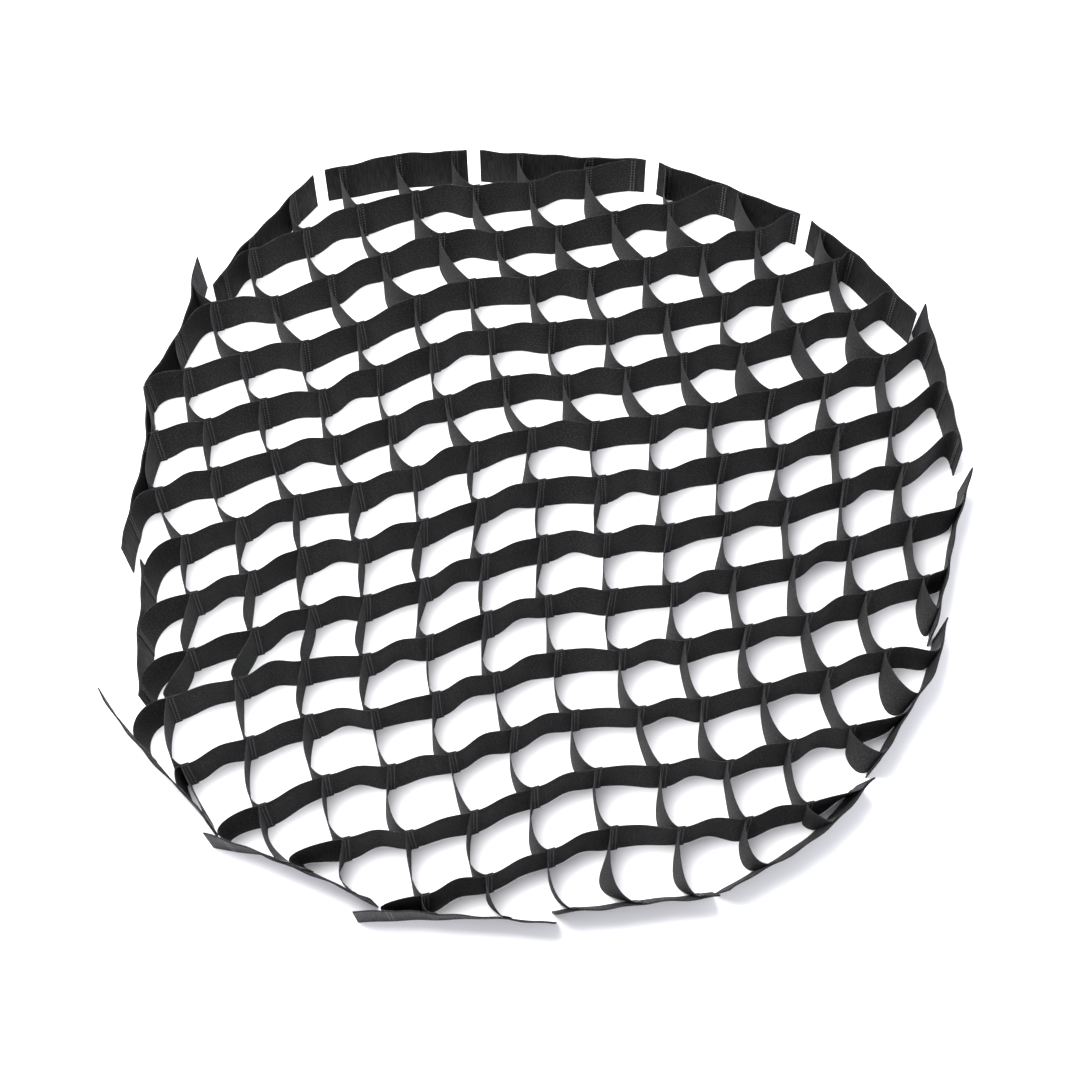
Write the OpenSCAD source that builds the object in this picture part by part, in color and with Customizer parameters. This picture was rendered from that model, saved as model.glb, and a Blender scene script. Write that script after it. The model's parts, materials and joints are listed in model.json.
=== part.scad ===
// Fabric honeycomb grid (egg crate) for a sixteen-sided softbox, lying loose on a flat surface.
// Row strips stand on edge along X. Short cross dividers join each row to the next, and every
// strip ends in a tab sewn to one of sixteen edge bands. All sizes are in millimetres. The origin
// is the middle of the footprint, on the surface that the grid lies on, with +Z up.

/* [Grid] */
// Distance across the grid from flat side to flat side
across_flats = 900; // [880:10:1000]
// Depth of the grid, which is the height of a strip on edge
depth = 60; // [40:1:80]

/* [Cloth] */
// Thickness of the woven strips
cloth = 0.8; // [0.6:0.1:0.9]
// Width of each sewn tab
tab = 8; // [6:1:8]
// How far the dividers stand proud of the rows, at the top and at the bottom
row_step = 1; // [0.5:0.5:2]

/* [Edge bands] */
// Thickness of the hook tape
band_thick = 1.6; // [1.2:0.1:2]
// Gap between a band that stops at a corner and the corner
corner_gap = 7; // [7:1:9]

/* [Lie] */
// How far the loose grid has slipped out of square, from 0.1, all but straight, to 1, as it lies
slip = 1; // [0.1:0.1:1]
// Mean bow of a row between two seams
row_bow = 7; // [2:1:7]
// Mean bow of a divider between two rows
divider_bow = 7; // [3:1:7]

/* [Hidden] */
SIDES = 16;
STRIPS = 13;
MIDDLE = (STRIPS + 1) / 2;
// The distance from flat side to flat side, in pitches
PITCHES_ACROSS = 180 / 13;
FAR = 1e6;
ROW_STEPS = 8;
DIVIDER_STEPS = 8;
// The first row of the part that folds over, and the play that its dividers have there
FOLD_ROW = 9;
FOLD_CLEARANCE = 0.3;

// How far each row lies to the right of square, and each column lies beyond square. The first and
// last values are for the edge bands in front of, behind and beside the rows.
ROW_SLIP = [-4, -4, -4, -10, -12, -6, 5, 17, 24, 10, 9, 3, -18, -32, -42];
COLUMN_SLIP = [-32, -28, -19, -5, -8, -2, 9, 15, 4, -3, -2, -3, 4, 9, 18];

// How far each corner of the outline has moved besides, in X and Y, going clockwise from the left
// end of the far side
CORNER_SLIP = [
    [0, 0], [-3, -10], [13, 0], [0, 3], [0, 4], [10, 11], [0, 0], [15, 13],
    [0, 0], [10, 4], [6, 4], [4, -2], [8, -10], [27, -27], [0, 0], [0, -19]
];

// How far each band runs past its corners, going clockwise from the far side. A band that
// doesn't pass its corner stops corner_gap short of it.
PAST_FIRST = [0, 0, 0, 0, 18, 14, 18, 0, 0, 8, 0, 0, 0, 0, 0, 0];
PAST_LAST = [0, 0, 0, 0, 0, 0, 0, 0, 0, 8, 18, 38, 0, 20, 36, 0];

RADIUS = across_flats / 2 / cos(180 / SIDES);
// Distance from one row to the next, and from one column of dividers to the next
PITCH = across_flats / PITCHES_ACROSS;
STRIP_RANGE = [1:STRIPS];
GAP_RANGE = [1:STRIPS + 1];
SIDE_RANGE = [0:SIDES - 1];

function two_digits(n) = n < 10 ? str("0", n) : str(n);
function row_name(i) = str("row_strip_", two_digits(i));
function gap_name(i) = str("cross_dividers_", two_digits(i));
function band_name(k) = str("edge_band_", two_digits(k + 1));

// ---- where the seams lie ----

function unit(v) = v / norm(v);
function square_place(n) = (n - MIDDLE) * PITCH;
function slip_at(place, list) =
    slip * lookup(place, [for (n = [0:STRIPS + 1]) [square_place(n), list[n]]]);
// A point of the square lattice, moved to where it lies in the loose grid
function lay(p) = p + [slip_at(p.y, ROW_SLIP), slip_at(p.x, COLUMN_SLIP)];
function seam(i, j) = lay([square_place(j), square_place(i)]);

// Half the width of the square, unslipped outline at a distance from its middle
function half_chord(distance) = min([
    for (turn = [0:360 / SIDES:89]) (across_flats / 2 - abs(distance) * sin(turn)) / cos(turn)
]);
// Whether row i and column j cross inside the outline, with room for a tab
function crosses(i, j) =
    let (x = abs(square_place(j)), y = abs(square_place(i)))
    x + tab + 3 < half_chord(y) && y + 3 < half_chord(x);
function columns_of(i) = [for (j = STRIP_RANGE) if (crosses(i, j)) j];

// Corners of the outline, clockwise, where corner k starts side k and side 0 is the far side
function square_corner(k) = let (turn = 90 + (0.5 - k) * 360 / SIDES) RADIUS * [cos(turn), sin(turn)];
function corner(k) = lay(square_corner(k)) + slip * CORNER_SLIP[k % SIDES];
function side_way(k) = unit(corner(k + 1) - corner(k));
function outward(k) = let (way = side_way(k)) [-way.y, way.x];

// Where a strip that runs from p along d meets side k of the square outline: how far it runs, and
// at what part of the side. The run is FAR where it misses the side.
function meeting(p, d, k) =
    let (
        start = square_corner(k) - p,
        side = square_corner(k + 1) - square_corner(k),
        slant = cross(d, side),
        run = cross(start, side) / slant,
        part = cross(start, d) / slant
    )
    [abs(slant) > 1 && run > 0 && part >= 0 && part <= 1 ? run : FAR, part];

// The sewn end of a strip that runs along d from the seam of row i and column j to its band: the
// fold, then the tab's end. A divider's tab turns to the right. A row's tab turns to the near side,
// or the way that its right end slants. All keep clear of the band's own ends.
function band_tab(i, j, d) =
    let (
        meetings = [for (k = SIDE_RANGE) meeting([square_place(j), square_place(i)], d, k)],
        runs = [for (m = meetings) m[0]],
        k = search(min(runs), runs)[0],
        way = side_way(k),
        turned = d.x == 0 ? sign(way.x) : d.x > 0 && way.x > -0.15 ? 1 : -1,
        margin = (tab + corner_gap + 1) / norm(corner(k + 1) - corner(k)),
        part = max(margin, min(1 - margin, meetings[k][1])),
        fold = corner(k) + (corner(k + 1) - corner(k)) * part - outward(k) * cloth / 2
    )
    [fold, fold + way * turned * tab];

// ---- ribbons of cloth on edge ----

// Half-thickness offset at a bend between directions a and b
function bend_offset(a, b) =
    let (left_a = [-a.y, a.x], left_b = [-b.y, b.x])
    (left_a + left_b) / (1 + left_a * left_b);
function offsets(path) =
    let (
        last = len(path) - 1,
        ways = [for (n = [0:last - 1]) unit(path[n + 1] - path[n])]
    )
    [for (n = [0:last]) bend_offset(ways[max(n - 1, 0)], ways[min(n, last - 1)])];

module ribbon(path, thick, height) {
    sides = offsets(path);
    last = len(path) - 1;
    left = [for (n = [0:last]) path[n] + sides[n] * thick / 2];
    right = [for (n = [last:-1:0]) path[n] - sides[n] * thick / 2];
    linear_extrude(height) polygon(concat(left, right));
}

// A repeatable spread of values from -1 to 1, so that no two cells lie alike
function spread(i, j) = sin(137 * i + 211 * j + 40 * sin(83 * i * j));

// Points after p up to q on a row, which bows away by rise over one pitch
function bow(p, q, rise) = [
    for (n = [1:ROW_STEPS])
    let (
        u = n / ROW_STEPS,
        ease = u * u * (3 - 2 * u),
        swell = rise * (q.x - p.x) / PITCH * (1 - cos(360 * u)) / 2
    )
    [p.x + (q.x - p.x) * u, p.y + (q.y - p.y) * ease + swell]
];

function row_path(i) =
    let (
        columns = columns_of(i),
        last_column = columns[len(columns) - 1],
        left = band_tab(i, columns[0], [-1, 0]),
        right = band_tab(i, last_column, [1, 0]),
        starts = concat([left[0]], [for (j = columns) seam(i, j) + [tab, 0]]),
        stops = concat([for (j = columns) seam(i, j)], [right[0]])
    )
    concat(
        [left[1]],
        [
            for (n = [0:len(columns)])
            each concat([starts[n]], bow(starts[n], stops[n], row_bow * (1 + 0.7 * spread(i, n))))
        ],
        [right[1]]
    );

// A divider's free span from p down to q, which leaves straight, bows left and comes in from the left
function divider_span(p, q, rise) =
    let (
        drop = p.y - q.y,
        p2 = p + [-rise, -0.35 * drop],
        q2 = q + [-1.6 * rise, 0.12 * drop]
    )
    [
        for (n = [1:DIVIDER_STEPS - 1])
        let (u = n / DIVIDER_STEPS, v = 1 - u)
        v * v * v * p + 3 * v * v * u * p2 + 3 * v * u * u * q2 + u * u * u * q
    ];

// The divider of column j between row i - 1 and row i. One that runs close beside a band on its
// left bows to the right instead.
function divider_path(i, j) =
    let (
        above = seam(i, j) - [0, cloth + (i == FOLD_ROW ? FOLD_CLEARANCE : 0)],
        below = seam(i - 1, j) + [0, cloth],
        top = crosses(i, j) ? [above, above + [tab, 0]] : band_tab(i - 1, j, [0, 1]),
        bottom = crosses(i - 1, j) ? [below, below + [tab, 0]] : band_tab(i, j, [0, -1]),
        beside_band = j == 1 && !(crosses(i, j) && crosses(i - 1, j)),
        swell = beside_band ? -0.4 : 1 + 0.5 * spread(j, i),
        rise = divider_bow * swell * (top[0].y - bottom[0].y) / PITCH
    )
    concat(
        [top[1], top[0]],
        divider_span(top[0], bottom[0], rise),
        [bottom[0], bottom[1]]
    );

// ---- the sub-parts ----

function past(list, k) = list[k] > 0 ? list[k] : -corner_gap;
function band_ends(k) = [
    corner(k) - side_way(k) * past(PAST_FIRST, k),
    corner(k + 1) + side_way(k) * past(PAST_LAST, k)
];

// The middle of the footprint, which becomes the origin
function middle(values) = (min(values) + max(values)) / 2;
BAND_POINTS = [for (k = SIDE_RANGE) each [for (p = band_ends(k)) p + outward(k) * band_thick]];
FOOT_MIDDLE = [middle([for (p = BAND_POINTS) p.x]), middle([for (p = BAND_POINTS) p.y])];

module centred() {
    translate([-FOOT_MIDDLE.x, -FOOT_MIDDLE.y, 0]) children();
}

module row_strip(i) {
    color([0.13, 0.13, 0.135]) centred() translate([0, 0, row_step])
        ribbon(row_path(i), cloth, depth - 2 * row_step);
}

// The dividers between row i - 1 and row i, or between one of them and the bands
module cross_dividers(i) {
    color([0.22, 0.22, 0.225]) centred()
        for (j = STRIP_RANGE)
            if (crosses(i, j) || crosses(i - 1, j))
                ribbon(divider_path(i, j), cloth, depth);
}

module edge_band(k) {
    ends = band_ends(k);
    proud = outward(k) * band_thick;
    color([0.17, 0.165, 0.185]) centred()
        linear_extrude(depth) polygon([ends[0], ends[1], ends[1] + proud, ends[0] + proud]);
}

for (i = STRIP_RANGE)
    row_strip(i);
for (i = GAP_RANGE)
    cross_dividers(i);
for (k = SIDE_RANGE)
    edge_band(k);
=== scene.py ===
"""Looks of the fabric honeycomb grid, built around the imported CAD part. All lengths are in metres.

Every strip of cloth is a thin closed ribbon that stands on edge. Its path in plan follows the
same lattice as the CAD part, and a height runs from 0 at its lower edge to 1 at its upper edge.
The edge bands lean and curl, and the strips that are sewn to them follow.
"""

import json
import math

import bpy
import numpy as np
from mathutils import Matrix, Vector

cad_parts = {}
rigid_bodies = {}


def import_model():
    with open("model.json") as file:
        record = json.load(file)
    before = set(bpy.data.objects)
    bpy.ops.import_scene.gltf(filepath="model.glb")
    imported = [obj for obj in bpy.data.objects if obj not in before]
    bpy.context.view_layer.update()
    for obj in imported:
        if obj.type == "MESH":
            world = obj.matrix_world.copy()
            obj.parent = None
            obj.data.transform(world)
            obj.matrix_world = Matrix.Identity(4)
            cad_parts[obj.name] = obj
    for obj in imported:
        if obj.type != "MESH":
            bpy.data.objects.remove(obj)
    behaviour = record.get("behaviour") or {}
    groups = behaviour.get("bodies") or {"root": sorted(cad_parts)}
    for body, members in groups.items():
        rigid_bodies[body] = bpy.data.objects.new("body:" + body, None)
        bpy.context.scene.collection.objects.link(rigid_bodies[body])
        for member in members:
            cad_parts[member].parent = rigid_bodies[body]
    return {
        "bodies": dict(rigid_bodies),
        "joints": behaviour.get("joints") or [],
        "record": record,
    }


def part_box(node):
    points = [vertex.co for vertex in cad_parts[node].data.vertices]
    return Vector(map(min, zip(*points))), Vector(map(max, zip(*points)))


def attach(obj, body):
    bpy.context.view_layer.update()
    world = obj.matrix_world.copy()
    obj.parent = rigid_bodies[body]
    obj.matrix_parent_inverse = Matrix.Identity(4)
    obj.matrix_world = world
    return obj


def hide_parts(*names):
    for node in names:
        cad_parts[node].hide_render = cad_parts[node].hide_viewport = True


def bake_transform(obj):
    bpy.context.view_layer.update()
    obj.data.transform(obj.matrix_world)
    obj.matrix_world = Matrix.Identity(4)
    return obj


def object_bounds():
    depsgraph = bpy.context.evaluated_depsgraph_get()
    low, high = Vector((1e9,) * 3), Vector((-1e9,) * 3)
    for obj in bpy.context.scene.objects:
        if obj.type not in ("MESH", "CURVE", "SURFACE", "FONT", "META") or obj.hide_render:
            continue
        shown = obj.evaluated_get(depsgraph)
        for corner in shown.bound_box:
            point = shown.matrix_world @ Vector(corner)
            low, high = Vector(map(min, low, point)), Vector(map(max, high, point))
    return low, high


MM = 0.001

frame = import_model()
CAD_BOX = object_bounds()
DEPTH = CAD_BOX[1].z - CAD_BOX[0].z
BODY_OF = {
    node: body
    for body, nodes in frame["record"]["behaviour"]["bodies"].items()
    for node in nodes
}
# The nodes that the joints list as deforming
BENT_NODES = [bent["node"] for joint in frame["joints"] for bent in joint.get("deforming_nodes", [])]

# ---- the lattice, as in the CAD part ----

SIDES = 16
STRIPS = 13
MIDDLE = (STRIPS + 1) / 2
ACROSS_FLATS = 0.9
PITCH = ACROSS_FLATS * 13 / 180
RADIUS = ACROSS_FLATS / 2 / math.cos(math.pi / SIDES)
TAB = 8 * MM
CORNER_GAP = 7 * MM
BAND_THICK = 1.6 * MM
ROW_STEP = 1 * MM
ROW_WIDTH = DEPTH - 2 * ROW_STEP
# Mean bow of a row between two seams, and of a divider between two rows
ROW_BOW = 4.8 * MM
DIVIDER_BOW = 7 * MM
# The cloth is drawn a little thinner than the space that it takes, so that sewn layers don't touch
CLOTH_SPACE = 0.8 * MM
CLOTH_THICK = 0.7 * MM

ROW_SLIP = MM * np.array([-4, -4, -4, -10, -12, -6, 5, 17, 24, 10, 9, 3, -18, -32, -42])
COLUMN_SLIP = MM * np.array([-32, -28, -19, -5, -8, -2, 9, 15, 4, -3, -2, -3, 4, 9, 18])
CORNER_SLIP = MM * np.array([
    (0, 0), (-3, -10), (13, 0), (0, 3), (0, 4), (10, 11), (0, 0), (15, 13),
    (0, 0), (10, 4), (6, 4), (4, -2), (8, -10), (27, -27), (0, 0), (0, -19),
])
PAST_FIRST = MM * np.array([0, 0, 0, 0, 18, 14, 18, 0, 0, 8, 0, 0, 0, 0, 0, 0])
PAST_LAST = MM * np.array([0, 0, 0, 0, 0, 0, 0, 0, 0, 8, 18, 38, 0, 20, 36, 0])
LATTICE_PLACES = PITCH * (np.arange(STRIPS + 2) - MIDDLE)


def unit(v):
    return v / np.linalg.norm(v)


def cross(a, b):
    return a[0] * b[1] - a[1] * b[0]


def square_place(n):
    return (n - MIDDLE) * PITCH


def lay(p):
    """Where a point of the square lattice lies in the loose grid."""
    return np.array([
        p[0] + np.interp(p[1], LATTICE_PLACES, ROW_SLIP),
        p[1] + np.interp(p[0], LATTICE_PLACES, COLUMN_SLIP),
    ])


def spread(i, j):
    """A repeatable spread of values from -1 to 1, so that no two cells lie alike."""
    twist = 40 * math.sin(math.radians(83 * i * j))
    return math.sin(math.radians(137 * i + 211 * j + twist))


def half_chord(distance):
    """Half the width of the square outline at a distance from its middle."""
    turns = [math.radians(turn) for turn in np.arange(0, 90, 360 / SIDES)]
    return min((ACROSS_FLATS / 2 - abs(distance) * math.sin(turn)) / math.cos(turn) for turn in turns)


def crosses(i, j):
    """Whether row i and column j cross inside the outline, with room for a tab."""
    x, y = abs(square_place(j)), abs(square_place(i))
    room = 3 * MM
    return x + TAB + room < half_chord(y) and y + room < half_chord(x)


def columns_of(i):
    return [j for j in range(1, STRIPS + 1) if crosses(i, j)]


def square_corner(k):
    turn = math.radians(90 + (0.5 - k) * 360 / SIDES)
    return RADIUS * np.array([math.cos(turn), math.sin(turn)])


def corner(k):
    return lay(square_corner(k)) + CORNER_SLIP[k % SIDES]


# ---- how the cloth lies ----

# How far each band has moved outward, or where negative inward, in millimetres, along its lower and
# its upper edge. The values are evenly spaced, clockwise from the band's first end to its last.
BAND_LIE = [
    ((0, 3, 0), (0, 8, 2)),
    ((0, 0, 0), (0, 0, 2)),
    ((0, 3, 0), (2, 3, 0)),
    ((0, 3, -2), (2, 6, 0)),
    ((3, 5, 3, 0), (9, 7, 5, 0)),
    ((5, 4, 2, -2), (11, 5, 2, 0)),
    ((0, 8, 0, -4), (6, 15, 9, 4)),
    ((-6, 6, 4, -3), (10, 23, 21, 14)),
    ((-6, -12, -17), (15, 9, 3)),
    ((-8, -6, 1, 9), (10, 11, 12, 17)),
    ((-10, -16, -16, -3), (1, 1, 0, 3)),
    ((-10, -4, 7, 14), (-5, 5, 16, 18)),
    ((-18, -14, -12, -10), (-10, -6, -6, -4)),
    ((14, 4, -6, -12, -14), (18, 6, -6, -14, -12)),
    ((-12, -17, -12, 4), (-10, -16, -10, 8)),
    ((-26, -14, -6, 0), (-26, -13, -6, 0)),
]
# How far each band's first and last ends have slid outward along it, in millimetres
BAND_SLIDE = {
    5: (-26, 0),
    7: (0, 6),
    8: (5, 0),
    10: (15, -15),
    11: (-2, -8),
    13: (0, -20),
    14: (0, -20),
    15: (8, 0),
}
# The bands are a little wavy besides, more so at the top
BAND_WAVE = 58 * MM
WAVE_HEIGHT = 1.4 * MM
# How far the top of a seam may lie from above its foot, in X and in Y
SEAM_LEAN = 3 * MM
# A seam's tab runs between X and the line through the seams beside it: the weight of X in that
KEEP_STRAIGHT = 0.7

# Where the loose cloth has been pushed besides: the row and column at the middle of the push, how
# many cells it reaches, and how far it goes in X and Y in millimetres
PUSHES = [
    ((11.6, 4.2), 2.4, (0, -11)),
    ((9.3, 3.6), 2.0, (3, -5)),
    ((10, 1), 1.6, (13, 1)),
    ((4, 1), 1.5, (6, 3)),
    ((3.4, 3), 2.6, (2, 11)),
    ((1.6, 9), 2.0, (0, -5)),
    ((13, 4), 1.3, (3, -6)),
    ((7, 1.2), 2.0, (12, 2)),
    ((6, 1.6), 1.5, (9, 0)),
    ((6, 3), 1.2, (11, 0)),
    ((4.9, 1), 1.5, (-11, 18)),
    ((4.6, 2), 1.4, (0, 12)),
    ((10.3, 2.8), 2.2, (0, -7)),
]


def curve(values, share):
    """A smooth line through evenly spaced values, read at shares from 0 to 1 of its length."""
    values = np.asarray(values, float)
    last = len(values) - 1
    place = np.clip(share, 0, 1) * last
    n = np.minimum(place.astype(int), last - 1)
    u = place - n
    before = values[np.maximum(n - 1, 0)]
    after = values[np.minimum(n + 2, last)]
    a, b = values[n], values[n + 1]
    slope_a, slope_b = (b - before) / 2, (after - a) / 2
    return (
        a * (1 + 2 * u) * (1 - u) ** 2
        + slope_a * u * (1 - u) ** 2
        + b * u * u * (3 - 2 * u)
        + slope_b * u * u * (u - 1)
    )


class Band:
    """One edge band: side k of the outline, clockwise from the far side."""

    def __init__(self, k):
        self.k = k
        self.start = corner(k)
        side = corner(k + 1) - self.start
        self.length = np.linalg.norm(side)
        self.way = side / self.length
        self.outward = np.array([-self.way[1], self.way[0]])
        slide = BAND_SLIDE.get(k, (0, 0))
        # Where the band starts and stops, as distances along the side
        self.first = -(PAST_FIRST[k] or -CORNER_GAP) - slide[0] * MM
        self.last = self.length + (PAST_LAST[k] or -CORNER_GAP) + slide[1] * MM

    def moved(self, along):
        """How far the lower and the upper edge have moved outward at distances along the side."""
        along = np.asarray(along, float)
        share = (along - self.first) / (self.last - self.first)
        low, high = BAND_LIE[self.k]
        turn = 2 * math.pi * along / BAND_WAVE + self.k
        wave = WAVE_HEIGHT * np.sin(turn) * np.sin(0.37 * turn)
        return curve(low, share) * MM + wave / 2, curve(high, share) * MM + wave

    def face(self, along, height, proud=0):
        """Points in plan at distances along the side, that stand proud of the inner face."""
        along = np.atleast_1d(along)
        low, high = self.moved(along)
        out = low + (high - low) * height + proud
        return self.start + np.outer(along, self.way) + np.outer(out, self.outward)

    def top(self, along):
        """How high the upper edge stands where the band leans."""
        low, high = self.moved(along)
        return np.sqrt(DEPTH**2 - (high - low) ** 2)


BANDS = [Band(k) for k in range(SIDES)]


def pushed(i, j):
    """How far the pushes together have moved the seam of row i and column j."""
    move = np.zeros(2)
    for middle, reach, way in PUSHES:
        near = max(0, 1 - (math.dist(middle, (i, j)) / reach) ** 2)
        move += near**2 * MM * np.array(way)
    return move


def seam(i, j, height=0.5):
    """Where row i and column j are sewn together, at a height."""
    lean = SEAM_LEAN * np.array([spread(i + 20, j), spread(i, j + 20)])
    return lay(np.array([square_place(j), square_place(i)])) + pushed(i, j) + lean * (height - 0.5)


def row_way(i, j):
    """Which way row i runs through its seam with column j."""
    return unit(unit(seam(i, j + 1) - seam(i, j - 1)) + [KEEP_STRAIGHT, 0])


def tab_end(i, j, height):
    """Where the tab of column j on row i ends."""
    return seam(i, j, height) + TAB * row_way(i, j)


def landing(i, j, d):
    """The band that a strip meets when it runs along d from the seam of row i and column j, how
    far along the band that is, and which way its tab turns on the band. A divider's tab turns to
    the right. A row's turns to the near side, except where its right end meets a near band."""
    p = np.array([square_place(j), square_place(i)])
    found = []
    for k in range(SIDES):
        start = square_corner(k) - p
        side = square_corner(k + 1) - square_corner(k)
        slant = cross(d, side)
        if abs(slant) > 1e-6:
            run, part = cross(start, side) / slant, cross(start, d) / slant
            if run > 0 and 0 <= part <= 1:
                found.append((run, k, part))
    _, k, part = min(found)
    band = BANDS[k]
    margin = (TAB + CORNER_GAP + MM) / band.length
    part = min(max(part, margin), 1 - margin)
    if d[0] == 0:
        turned = math.copysign(1, band.way[0])
    else:
        turned = 1 if d[0] > 0 and band.way[0] > -0.15 else -1
    return band, part * band.length, turned


# ---- paths in plan ----

SPAN_STEPS = 14
TAB_STEPS = 3
# How much one strip's bow differs from the next one's, and its upper edge's from its lower one's
ROW_SPREAD = 0.7
DIVIDER_SPREAD = 0.5
EDGE_SPREAD = 0.5
# The curve of a row's end: its handles at the seam and at the band, as shares of its run, how much
# shorter the second is where the band slants the way that the row runs, its bow, as a share of
# ROW_BOW, and how far inside the band it comes in
END_LEAVE = 0.45
END_ARRIVE = 0.4
END_ALONG = 0.5
END_BOW = 0.6
END_INSIDE = 2 * MM
# The curve of a divider: its handles at its far tab and at its near one, as shares of its drop, and
# how many times its bow it swings out before its near tab, on a row or on a band
DIVIDER_LEAVE = 0.35
DIVIDER_ARRIVE = 0.18
HOOK_ON_ROW = 1.9
HOOK_ON_BAND = 3.0
# The bow of a divider, as a share of the usual one: beside a band on its left, and at its lower
# edge where it ends on a near band, with how much less that is at its upper edge
BESIDE_BAND = -0.4
BULGE_LOW = 1.4
BULGE_LESS = 0.6


def steps(count):
    """Evenly spaced shares from 0 to 1, without those two."""
    return np.arange(1, count) / count


def bezier(a, b, c, d, u):
    """Points of a cubic curve at the shares u."""
    u = np.asarray(u)[:, None]
    v = 1 - u
    return v**3 * a + 3 * v * v * u * b + 3 * v * u * u * c + u**3 * d


def soften(path):
    """The path with every corner cut once, and its two ends kept."""
    a, b = path[:-1], path[1:]
    cut = np.empty((2 * len(a), 2))
    cut[0::2] = 0.75 * a + 0.25 * b
    cut[1::2] = 0.25 * a + 0.75 * b
    return np.vstack([path[:1], cut, path[-1:]])


def sewn_end(i, j, d, height):
    """The tab of a strip's end on its band, as points from its fold to its end."""
    band, along, turned = landing(i, j, d)
    places = along + turned * np.linspace(0, TAB, TAB_STEPS + 1)
    return band.face(places, height, -CLOTH_SPACE / 2), band, turned


def uneven(i, j, height):
    """How much more or less a strip bows at this height than at the middle of its depth."""
    return 1 + EDGE_SPREAD * spread(i + 7, j + 3) * (height - 0.5)


def row_span(p, q, rise):
    """The stretch of a row between two seams: it eases across and bows away."""
    u = steps(SPAN_STEPS)
    ease = u * (1 + 3 * u - 2 * u * u) / 2
    swell = rise * (q[0] - p[0]) / PITCH * (1 - np.cos(2 * math.pi * u)) / 2
    return np.column_stack([p[0] + (q[0] - p[0]) * u, p[1] + (q[1] - p[1]) * ease + swell])


def row_end(i, j, way, height):
    """A row from its last seam to its tab on a band. It curls into the way that the tab turns."""
    d = np.array([way, 0.0])
    tab, band, turned = sewn_end(i, j, d, height)
    start = tab_end(i, j, height) if way > 0 else seam(i, j, height)
    run = np.linalg.norm(tab[0] - start)
    along = band.way * turned
    reach = END_ARRIVE * run * (1 - END_ALONG * max(0, d @ along))
    leave = start + d * END_LEAVE * run + np.array([0, ROW_BOW * END_BOW * uneven(i, j, height)])
    arrive = tab[0] - along * reach - band.outward * END_INSIDE
    span = bezier(start, leave, arrive, tab[0], steps(SPAN_STEPS))
    return np.vstack([start, span, tab])


def row_path(i, height):
    """A row strip from its left tab to its right one."""
    columns = columns_of(i)
    parts = [row_end(i, columns[0], -1, height)[::-1]]
    for n, (j, following) in enumerate(zip(columns, columns[1:]), 1):
        p = tab_end(i, j, height)
        q = seam(i, following, height)
        rise = ROW_BOW * (1 + ROW_SPREAD * spread(i, n)) * uneven(i, n, height)
        parts += [[p], row_span(p, q, rise), [q]]
    parts.append(row_end(i, columns[-1], 1, height))
    return soften(np.vstack(parts))


def sewn_to_row(i, j, side, height):
    """The tab of a divider on row i, as points from its fold to its end."""
    way = row_way(i, j)
    fold = seam(i, j, height) + side * CLOTH_SPACE * np.array([-way[1], way[0]])
    return fold + np.outer(np.linspace(0, TAB, TAB_STEPS + 1), way)


def divider_tabs(i, j, height):
    """The upper and the lower tab of the divider of column j between row i - 1 and row i."""
    if crosses(i, j):
        top = sewn_to_row(i, j, -1, height)
    else:
        top = sewn_end(i - 1, j, np.array([0, 1.0]), height)[0]
    if crosses(i - 1, j):
        bottom = sewn_to_row(i - 1, j, 1, height)
    else:
        bottom = sewn_end(i, j, np.array([0, -1.0]), height)[0]
    return top, bottom


def divider_path(i, j, height):
    """A divider from its far tab to its near one. It bows to the left, or beside a band on its
    left to the right, and comes into its near tab along it. One that ends on a near band bulges
    out more, and most at its lower edge."""
    top, bottom = divider_tabs(i, j, height)
    p, q = top[0], bottom[0]
    drop = p[1] - q[1]
    beside_band = j == 1 and not (crosses(i, j) and crosses(i - 1, j))
    swell = BESIDE_BAND if beside_band else 1 + DIVIDER_SPREAD * spread(j, i)
    rise = DIVIDER_BOW * swell * drop / PITCH * uneven(j, i, height)
    hook = HOOK_ON_ROW
    if not crosses(i - 1, j) and not beside_band:
        rise *= BULGE_LOW - BULGE_LESS * height
        hook = HOOK_ON_BAND
    leave = p + [-rise, -DIVIDER_LEAVE * drop]
    arrive = q - hook * rise * unit(bottom[-1] - q) + [0, DIVIDER_ARRIVE * drop]
    span = bezier(p, leave, arrive, q, steps(SPAN_STEPS))
    return soften(np.vstack([top[::-1], span, bottom]))


# ---- meshes ----

# Every strip's path is worked out at these heights, and a band's at steps of this length
HEIGHTS = np.linspace(0, 1, 7)
BAND_STEP = 4 * MM


class Cloth:
    """Gathers ribbons of cloth into one mesh, with a map of length and height in metres."""

    def __init__(self, thick, width):
        self.thick = thick
        self.width = width
        self.points, self.faces, self.map = [], [], []
        self.count = 0
        self.length = 0.0

    def add(self, paths, low, high):
        """A ribbon through one path in plan per height, between two levels."""
        paths = np.array(paths)
        rows, columns = paths.shape[:2]
        share = np.linspace(0, 1, rows)[:, None]
        z = low + (high - low) * share + np.zeros((rows, columns))
        grid = np.dstack([paths, z])
        normal = np.cross(np.gradient(grid, axis=1), np.gradient(grid, axis=0))
        normal /= np.linalg.norm(normal, axis=2, keepdims=True)
        middle = grid[rows // 2]
        run = np.concatenate([[0], np.cumsum(np.linalg.norm(np.diff(middle, axis=0), axis=1))])
        place = np.dstack(np.meshgrid(run + self.length, share[:, 0] * self.width))
        for side in (0.5, -0.5):
            self.points.append((grid + normal * self.thick * side).reshape(-1, 3))
            self.map.append(place.reshape(-1, 2))
        self.faces.append(self.count + ribbon_faces(rows, columns))
        self.count += 2 * rows * columns
        self.length += run[-1]

    def build(self, name, material):
        points = np.vstack(self.points)
        points[:, :2] += SHIFT
        return new_mesh(name, points, np.vstack(self.faces), material, np.vstack(self.map))


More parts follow.
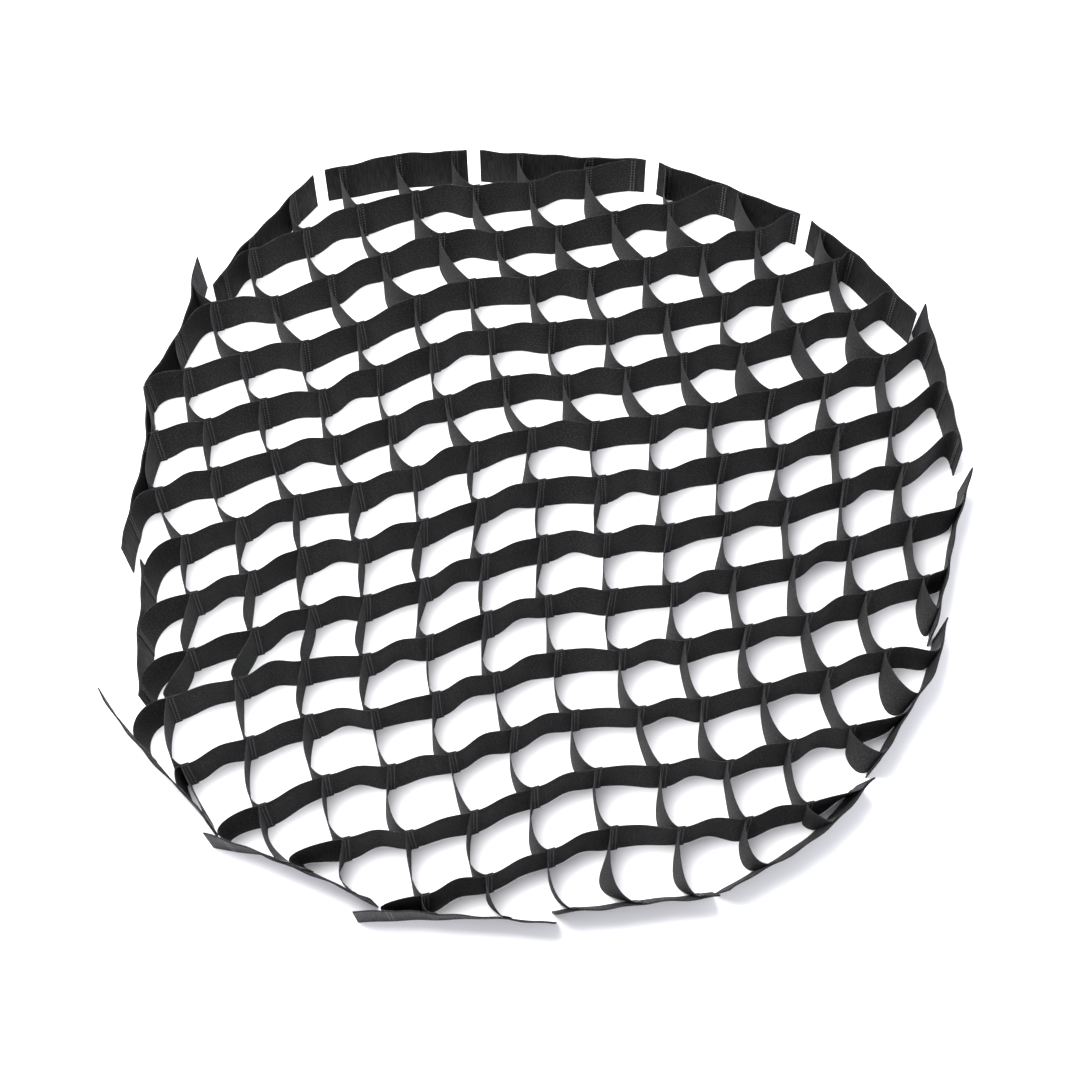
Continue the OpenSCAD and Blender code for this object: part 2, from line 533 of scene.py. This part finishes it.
def ribbon_faces(rows, columns):
    """Quads of a closed ribbon: its front, its back and the four narrow edges between them."""
    index = np.arange(rows * columns).reshape(rows, columns)
    a, b = index[:-1, :-1].ravel(), index[:-1, 1:].ravel()
    c, d = index[1:, 1:].ravel(), index[1:, :-1].ravel()
    back = rows * columns
    front_faces = np.column_stack([d, c, b, a])
    back_faces = np.column_stack([a, b, c, d]) + back
    rim = np.concatenate([index[0, :], index[1:, -1], index[-1, -2::-1], index[-2:0:-1, 0]])
    after = np.roll(rim, -1)
    rim_faces = np.column_stack([rim, after, after + back, rim + back])
    return np.vstack([front_faces, back_faces, rim_faces])


def new_mesh(name, points, faces, material, uv=None):
    """A smooth mesh object in the scene, with sharp edges where the cloth ends."""
    mesh = bpy.data.meshes.new(name)
    mesh.from_pydata(points.tolist(), [], [tuple(face) for face in faces])
    if uv is not None:
        corners = np.empty(len(mesh.loops), int)
        mesh.loops.foreach_get("vertex_index", corners)
        mesh.uv_layers.new(name="cloth").data.foreach_set("uv", uv[corners].ravel())
    mesh.shade_smooth()
    mesh.set_sharp_from_angle(angle=math.radians(60))
    mesh.materials.append(material)
    piece = bpy.data.objects.new(name, mesh)
    bpy.context.scene.collection.objects.link(piece)
    return piece


def cad_shift():
    """How far the CAD part lies from the lattice's middle, found from its far band."""
    low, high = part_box("edge_band_01")
    band = BANDS[0]
    ends = [band.start + band.way * along for along in (band.first, band.last)]
    points = np.array([end + band.outward * out for end in ends for out in (0, BAND_THICK)])
    middle = (points.min(0) + points.max(0)) / 2
    return np.array([(low.x + high.x) / 2, (low.y + high.y) / 2]) - middle


SHIFT = cad_shift()

STITCH_LONG = 2.5 * MM
STITCH_STEP = 5.0 * MM
STITCH_WIDE = 0.9 * MM
STITCH_PROUD = 0.3 * MM
# The length of a stitch's ridge, as a share of the stitch
STITCH_RIDGE = 0.6
# Where a tab's two rows of stitches run, as shares of its width, and where each row starts and
# stops, as shares of the depth
STITCH_ROWS = (0.28, 0.72)
STITCH_ENDS = (0.04, 0.96)


class Stitches:
    """Gathers upright rows of stitches into one mesh. Each stitch is a small hipped roof."""

    def __init__(self):
        self.points, self.faces = [], []
        self.count = 0

    def add(self, low, high, outward):
        """A row of stitches up a face, between its lower and upper end, which faces outward."""
        up = unit(high - low)
        across = np.cross(outward, up)
        number = int(np.linalg.norm(high - low) / STITCH_STEP)
        for n in range(number):
            middle = low + (high - low) * (n + 0.5) / number
            half = up * STITCH_LONG / 2
            ends = [middle + half * way for way in (-1, 1)]
            ridge = [middle + half * STITCH_RIDGE * way + outward * STITCH_PROUD for way in (-1, 1)]
            feet = [end + across * STITCH_WIDE / 2 * side for end in ends for side in (-1, 1)]
            self.points += feet + ridge
            a, b, c, d, e, f = range(self.count, self.count + 6)
            self.faces += [(a, e, f, c), (b, d, f, e), (a, b, e), (c, f, d), (a, c, d, b)]
            self.count += 6

    def build(self, name):
        points = np.array(self.points)
        points[:, :2] += SHIFT
        return new_mesh(name, points, self.faces, THREAD)


# ---- materials ----


class Nodes:
    """A short way to write a material's node tree."""

    def __init__(self, name):
        self.material = bpy.data.materials.new(name)
        self.material.use_nodes = True
        self.tree = self.material.node_tree
        self.shader = self.tree.nodes["Principled BSDF"]

    def put(self, socket, value):
        """Gives a socket a value, or links another socket to it."""
        if isinstance(value, bpy.types.NodeSocket):
            self.tree.links.new(value, socket)
        else:
            socket.default_value = value

    def math(self, operation, a, b=0.0):
        node = self.tree.nodes.new("ShaderNodeMath")
        node.operation = operation
        self.put(node.inputs[0], a)
        self.put(node.inputs[1], b)
        return node.outputs[0]

    def ramp(self, value, low, high, to_low, to_high):
        """A value between two limits, spread smoothly between two others."""
        node = self.tree.nodes.new("ShaderNodeMapRange")
        node.interpolation_type = "SMOOTHSTEP"
        for socket, given in zip(node.inputs, (value, low, high, to_low, to_high)):
            self.put(socket, given)
        return node.outputs[0]

    def cloth_place(self):
        """Length and height on the cloth in metres."""
        place = self.tree.nodes.new("ShaderNodeUVMap")
        place.uv_map = "cloth"
        apart = self.tree.nodes.new("ShaderNodeSeparateXYZ")
        self.put(apart.inputs[0], place.outputs[0])
        return apart.outputs[0], apart.outputs[1]

    def together(self, x, y):
        node = self.tree.nodes.new("ShaderNodeCombineXYZ")
        self.put(node.inputs[0], x)
        self.put(node.inputs[1], y)
        return node.outputs[0]

    def noise(self, vector, scale, detail=2.0):
        node = self.tree.nodes.new("ShaderNodeTexNoise")
        self.put(node.inputs["Vector"], vector)
        self.put(node.inputs["Scale"], scale)
        self.put(node.inputs["Detail"], detail)
        return node.outputs[0]

    def times(self, colour, factor):
        """A colour made lighter or darker."""
        node = self.tree.nodes.new("ShaderNodeVectorMath")
        node.operation = "SCALE"
        self.put(node.inputs[0], colour)
        self.put(node.inputs["Scale"], factor)
        return node.outputs[0]

    def bump(self, height, depth, strength=1.0):
        node = self.tree.nodes.new("ShaderNodeBump")
        self.put(node.inputs["Height"], height)
        self.put(node.inputs["Distance"], depth)
        self.put(node.inputs["Strength"], strength)
        self.put(self.shader.inputs["Normal"], node.outputs[0])

    def finish(self, colour, roughness, sheen):
        self.put(self.shader.inputs["Base Color"], colour)
        self.put(self.shader.inputs["Roughness"], roughness)
        self.shader.inputs["Sheen Weight"].default_value = sheen
        self.shader.inputs["Sheen Roughness"].default_value = 0.5
        self.shader.inputs["Specular IOR Level"].default_value = 0.2
        return self.material


def edge_wear_and_highlight(nodes, v, width, reach):
    """1 in the middle of a strip, rising towards its two cut edges: partly wear of the cut threads,
    partly a painted highlight where the threads catch light.
    """
    edge = nodes.math("MINIMUM", v, nodes.math("SUBTRACT", width, v))
    return nodes.ramp(edge, 0.0, reach, 1.9, 1.0)


# The distance from one yarn of the cloth to the next
YARN = 0.6 * MM


def woven(name, colour, width, sheen):
    """Plain-woven nylon: threads over and under, mottled, with painted glints, painted shade between
    the yarns, and cut edges painted lighter, partly as wear and partly as painted highlight.
    """
    nodes = Nodes(name)
    u, v = nodes.cloth_place()
    wave_u = nodes.math("SINE", nodes.math("MULTIPLY", u, math.pi / YARN))
    wave_v = nodes.math("SINE", nodes.math("MULTIPLY", v, math.pi / YARN))
    over = nodes.math("GREATER_THAN", nodes.math("MULTIPLY", wave_u, wave_v), 0.0)
    along = nodes.math("MULTIPLY", over, nodes.math("ABSOLUTE", wave_u))
    across = nodes.math("MULTIPLY", nodes.math("SUBTRACT", 1.0, over), nodes.math("ABSOLUTE", wave_v))
    weave = nodes.math("ADD", along, across)
    place = nodes.together(u, v)
    # Fine specks painted lighter and darker, mostly as painted glints where the yarns catch light;
    # they are a little glossier too.
    painted_glints = nodes.noise(place, 420.0)
    mottle = nodes.noise(place, 45.0, 4.0)
    shade = nodes.math(
        "MULTIPLY",
        nodes.ramp(painted_glints, 0.42, 0.68, 0.55, 1.9),
        nodes.ramp(mottle, 0.3, 0.7, 0.8, 1.2),
    )
    # The gaps between the yarns are painted darker, as painted shade, and the yarn crowns lighter, as
    # painted highlight.
    shade = nodes.math("MULTIPLY", shade, nodes.ramp(weave, 0.0, 1.0, 0.65, 1.15))
    # The cut edges are painted lighter, partly as wear and partly as painted highlight.
    shade = nodes.math("MULTIPLY", shade, edge_wear_and_highlight(nodes, v, width, 0.9 * MM))
    nodes.bump(nodes.math("ADD", weave, nodes.math("MULTIPLY", mottle, 2.0)), 0.12 * MM, 0.8)
    roughness = nodes.ramp(painted_glints, 0.3, 0.8, 0.92, 0.7)
    return nodes.finish(nodes.times(colour, shade), roughness, sheen)


def hooked(name, colour, width, sheen):
    """Hook tape: fine ribs across its width, and rows of small hooks, painted lighter on their tops
    as painted highlight and darker between them as painted shade.
    """
    nodes = Nodes(name)
    u, v = nodes.cloth_place()
    stretched = nodes.together(nodes.math("MULTIPLY", u, 900.0), nodes.math("MULTIPLY", v, 45.0))
    ribs = nodes.noise(stretched, 1.0)
    hooks = nodes.tree.nodes.new("ShaderNodeTexVoronoi")
    nodes.put(hooks.inputs["Vector"], nodes.together(u, v))
    nodes.put(hooks.inputs["Scale"], 700.0)
    knobs = hooks.outputs["Distance"]
    mottle = nodes.noise(nodes.together(u, v), 60.0, 3.0)
    shade = nodes.math(
        "MULTIPLY",
        nodes.ramp(ribs, 0.35, 0.65, 0.55, 1.5),
        nodes.ramp(mottle, 0.3, 0.7, 0.8, 1.25),
    )
    # The hook tops are painted lighter, as painted highlight, and the hollows between them darker, as
    # painted shade.
    shade = nodes.math("MULTIPLY", shade, nodes.ramp(knobs, 0.0, 0.7, 1.3, 0.7))
    # The cut edges are painted lighter, partly as wear and partly as painted highlight.
    shade = nodes.math("MULTIPLY", shade, edge_wear_and_highlight(nodes, v, width, 1.4 * MM))
    nodes.bump(nodes.math("SUBTRACT", nodes.math("MULTIPLY", ribs, 1.5), knobs), 0.35 * MM, 0.9)
    roughness = nodes.ramp(ribs, 0.3, 0.7, 0.9, 0.7)
    return nodes.finish(nodes.times(colour, shade), roughness, sheen)


def thread(name, colour):
    """Sewing thread: two plies that twist round each other."""
    nodes = Nodes(name)
    place = nodes.tree.nodes.new("ShaderNodeTexCoord").outputs["Object"]
    ply = nodes.noise(place, 2500.0)
    nodes.bump(ply, 0.05 * MM, 0.7)
    return nodes.finish(nodes.times(colour, nodes.ramp(ply, 0.3, 0.7, 0.7, 1.3)), 0.6, 0.2)


ROW_CLOTH = woven("row_cloth", (0.0068, 0.0068, 0.0070), ROW_WIDTH, 0.02)
DIVIDER_CLOTH = woven("divider_cloth", (0.0072, 0.0072, 0.0074), DEPTH, 0.03)
HOOK_TAPE = hooked("hook_tape", (0.0048, 0.0045, 0.0053), DEPTH, 0.02)
THREAD = thread("thread", (0.085, 0.085, 0.088))

# ---- the pieces ----


def cloth_piece(cloth, node, material):
    """A finished piece of cloth that stands for its CAD node."""
    piece = cloth.build("cloth_" + node, material)
    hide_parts(node)
    return piece


def make_row(i):
    node = f"row_strip_{i:02d}"
    cloth = Cloth(CLOTH_THICK, ROW_WIDTH)
    cloth.add([row_path(i, height) for height in HEIGHTS], ROW_STEP, ROW_STEP + ROW_WIDTH)
    piece = cloth_piece(cloth, node, ROW_CLOTH)
    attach(piece, BODY_OF[node])


def gap_columns(i):
    return [j for j in range(1, STRIPS + 1) if crosses(i, j) or crosses(i - 1, j)]


def make_dividers(i):
    """All the dividers between row i - 1 and row i."""
    node = f"cross_dividers_{i:02d}"
    cloth = Cloth(CLOTH_THICK, DEPTH)
    for j in gap_columns(i):
        cloth.add([divider_path(i, j, height) for height in HEIGHTS], 0, DEPTH)
    piece = cloth_piece(cloth, node, DIVIDER_CLOTH)
    if node in BENT_NODES:
        bend_across_fold(piece)
    else:
        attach(piece, BODY_OF[node])


def bend_across_fold(piece):
    """The piece's placing is baked into its mesh. It is not bent, and is attached to no body."""
    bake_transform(piece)


def make_band(band):
    node = f"edge_band_{band.k + 1:02d}"
    cloth = Cloth(BAND_THICK, DEPTH)
    count = round((band.last - band.first) / BAND_STEP)
    along = np.linspace(band.first, band.last, count)
    paths = [band.face(along, height, BAND_THICK / 2) for height in HEIGHTS]
    cloth.add(paths, 0, band.top(along))
    piece = cloth_piece(cloth, node, HOOK_TAPE)
    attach(piece, BODY_OF[node])


def stitch_tab(stitches, fold, end, front, back, normal):
    """Two upright rows of stitches through a tab, on its front and on the back of what it is sewn
    to. fold and end are functions of the height, and normal points out of the front."""
    for share in STITCH_ROWS:
        for stand, side in ((front, 1), (back, -1)):
            out = np.array([*normal, 0]) * side
            low, high = [
                np.array([*(fold(h) * (1 - share) + end(h) * share), h * DEPTH]) + out * stand
                for h in STITCH_ENDS
            ]
            stitches.add(low, high, out)


def stitch_seam(stitches, i, j):
    """The stitches where column j crosses row i. They go through the row and the tabs on it."""
    stand = CLOTH_SPACE + CLOTH_THICK / 2
    way = row_way(i, j)
    stitch_tab(
        stitches,
        lambda h: seam(i, j, h),
        lambda h: tab_end(i, j, h),
        stand,
        stand,
        np.array([way[1], -way[0]]),
    )


def stitch_to_band(stitches, i, j, d):
    """The stitches through a strip's end and its band."""
    band = landing(i, j, d)[0]
    stitch_tab(
        stitches,
        lambda h: sewn_end(i, j, d, h)[0][0],
        lambda h: sewn_end(i, j, d, h)[0][-1],
        CLOTH_THICK / 2,
        CLOTH_SPACE / 2 + BAND_THICK,
        -band.outward,
    )


def make_stitches(body):
    """All the thread that moves with a body."""
    stitches = Stitches()
    for i in range(1, STRIPS + 1):
        if BODY_OF[f"row_strip_{i:02d}"] != body:
            continue
        columns = columns_of(i)
        for j in columns:
            stitch_seam(stitches, i, j)
            if not crosses(i + 1, j):
                stitch_to_band(stitches, i, j, np.array([0, 1.0]))
            if not crosses(i - 1, j):
                stitch_to_band(stitches, i, j, np.array([0, -1.0]))
        stitch_to_band(stitches, i, columns[0], np.array([-1.0, 0]))
        stitch_to_band(stitches, i, columns[-1], np.array([1.0, 0]))
    piece = stitches.build("thread_" + body)
    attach(piece, body)


for i in range(1, STRIPS + 1):
    make_row(i)
for i in range(1, STRIPS + 2):
    make_dividers(i)
for band in BANDS:
    make_band(band)
for body in frame["bodies"]:
    make_stitches(body)

# ---- floor, light and camera ----


def make_floor():
    size = 12.0
    mesh = bpy.data.meshes.new("floor")
    half = size / 2
    z = CAD_BOX[0].z - 0.2 * MM
    corners = [(-half, -half, z), (half, -half, z), (half, half, z), (-half, half, z)]
    mesh.from_pydata(corners, [], [(0, 1, 2, 3)])
    material = bpy.data.materials.new("floor_white")
    material.use_nodes = True
    shader = material.node_tree.nodes["Principled BSDF"]
    shader.inputs["Base Color"].default_value = (0.93, 0.93, 0.94, 1)
    shader.inputs["Roughness"].default_value = 0.9
    mesh.materials.append(material)
    floor = bpy.data.objects.new("floor", mesh)
    bpy.context.scene.collection.objects.link(floor)


def softbox(name, place, size, power):
    """A square soft light that faces the middle of the grid."""
    light = bpy.data.lights.new(name, "AREA")
    light.size = size
    light.energy = power
    lamp = bpy.data.objects.new(name, light)
    lamp.location = place
    aim(lamp, (0, 0, 0))
    bpy.context.scene.collection.objects.link(lamp)


def aim(thing, target):
    """Turns a camera or a light to face a point."""
    way = Vector(target) - Vector(thing.location)
    thing.rotation_euler = way.to_track_quat("-Z", "Y").to_euler()


def make_light():
    """A large soft light high on the left, and white walls all round that burn out the floor."""
    softbox("key", (-0.55, 0.2, 2.25), 1.3, 120)
    world = bpy.data.worlds.new("studio")
    world.use_nodes = True
    world.node_tree.nodes["Background"].inputs["Color"].default_value = (0.94, 0.94, 1, 1)
    world.node_tree.nodes["Background"].inputs["Strength"].default_value = 1.4
    bpy.context.scene.world = world
    bpy.context.scene.view_settings.view_transform = "Standard"


def make_camera():
    """The camera stands to the left of the near side and looks steeply down."""
    azimuth, elevation = math.radians(-13.63), math.radians(63.8)
    distance = 2.502
    target = np.array([9.9 * MM + SHIFT[0], -24.0 * MM + SHIFT[1], 0])
    back = np.array([
        math.sin(azimuth) * math.cos(elevation),
        -math.cos(azimuth) * math.cos(elevation),
        math.sin(elevation),
    ])
    camera = bpy.data.objects.new("camera", bpy.data.cameras.new("camera"))
    camera.data.lens = 78.2
    camera.data.sensor_width = 36
    camera.location = target + back * distance
    aim(camera, target)
    bpy.context.scene.collection.objects.link(camera)
    bpy.context.scene.camera = camera


make_floor()
make_light()
make_camera()
